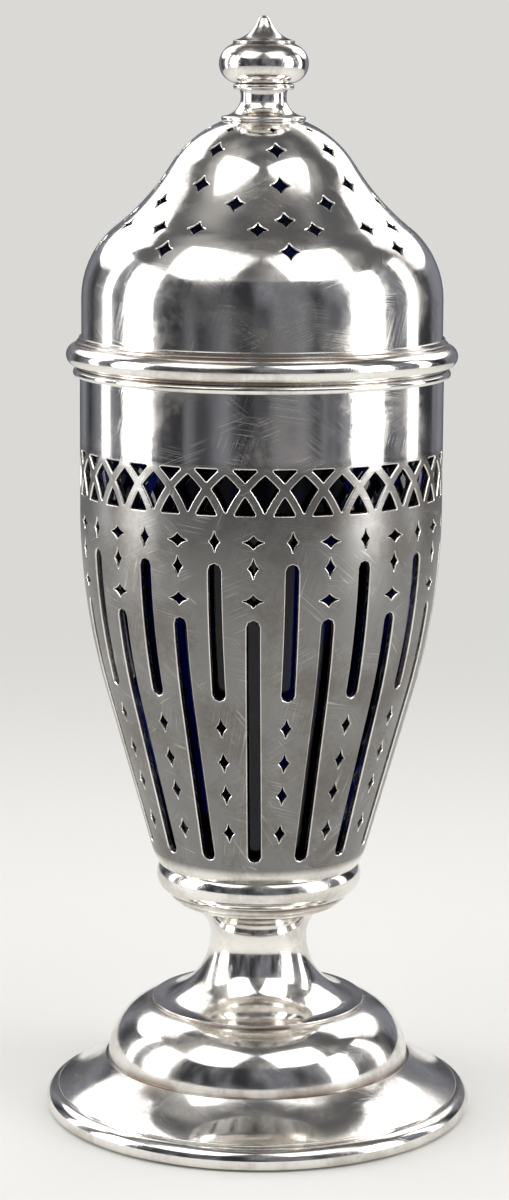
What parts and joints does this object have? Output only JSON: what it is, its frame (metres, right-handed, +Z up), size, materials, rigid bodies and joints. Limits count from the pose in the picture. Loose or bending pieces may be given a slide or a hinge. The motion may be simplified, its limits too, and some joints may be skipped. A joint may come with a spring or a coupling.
{
  "type": "sugar caster",
  "caption": "Pierced silver sugar caster: vase body with lattice band, stars and slots over a blue glass liner, on a domed foot, with a lift-off pierced bell cover and finial.",
  "frame": {"origin": "on the axis, on the surface that the foot stands on", "axes": "+Z up along the axis of revolution, -Y towards the front that the picture shows"},
  "size_m": [0.0668, 0.0668, 0.1695],
  "materials": {
    "polished_silver": "polished sterling silver with fine scratches",
    "pierced_silver": "worn satin sterling silver, saw-pierced",
    "satin_silver": "unpolished inside of sterling silver",
    "cobalt_glass": "clear cobalt blue blown glass"
  },
  "bodies": {
    "body": {"body_shell": "pierced_silver", "body_rim_wire": "polished_silver", "body_floor": "satin_silver", "base_moulding": "polished_silver", "foot_pedestal": "polished_silver", "foot_rim_wire": "polished_silver"},
    "liner": {"glass_liner": "cobalt_glass"},
    "cover": {"finial_knob": "polished_silver", "finial_stem": "polished_silver", "cover_dome": "polished_silver", "cover_rim_moulding": "polished_silver", "cover_bezel": "satin_silver"}
  },
  "joints": [
    {"name": "liner_lift", "type": "slide", "parent": "body", "child": "liner", "axis": [0, 0, 1], "range_m": [0, 0.09]},
    {"name": "cover_lift", "type": "slide", "parent": "liner", "child": "cover", "axis": [0, 0, 1], "range_m": [0, 0.06]}
  ]
}
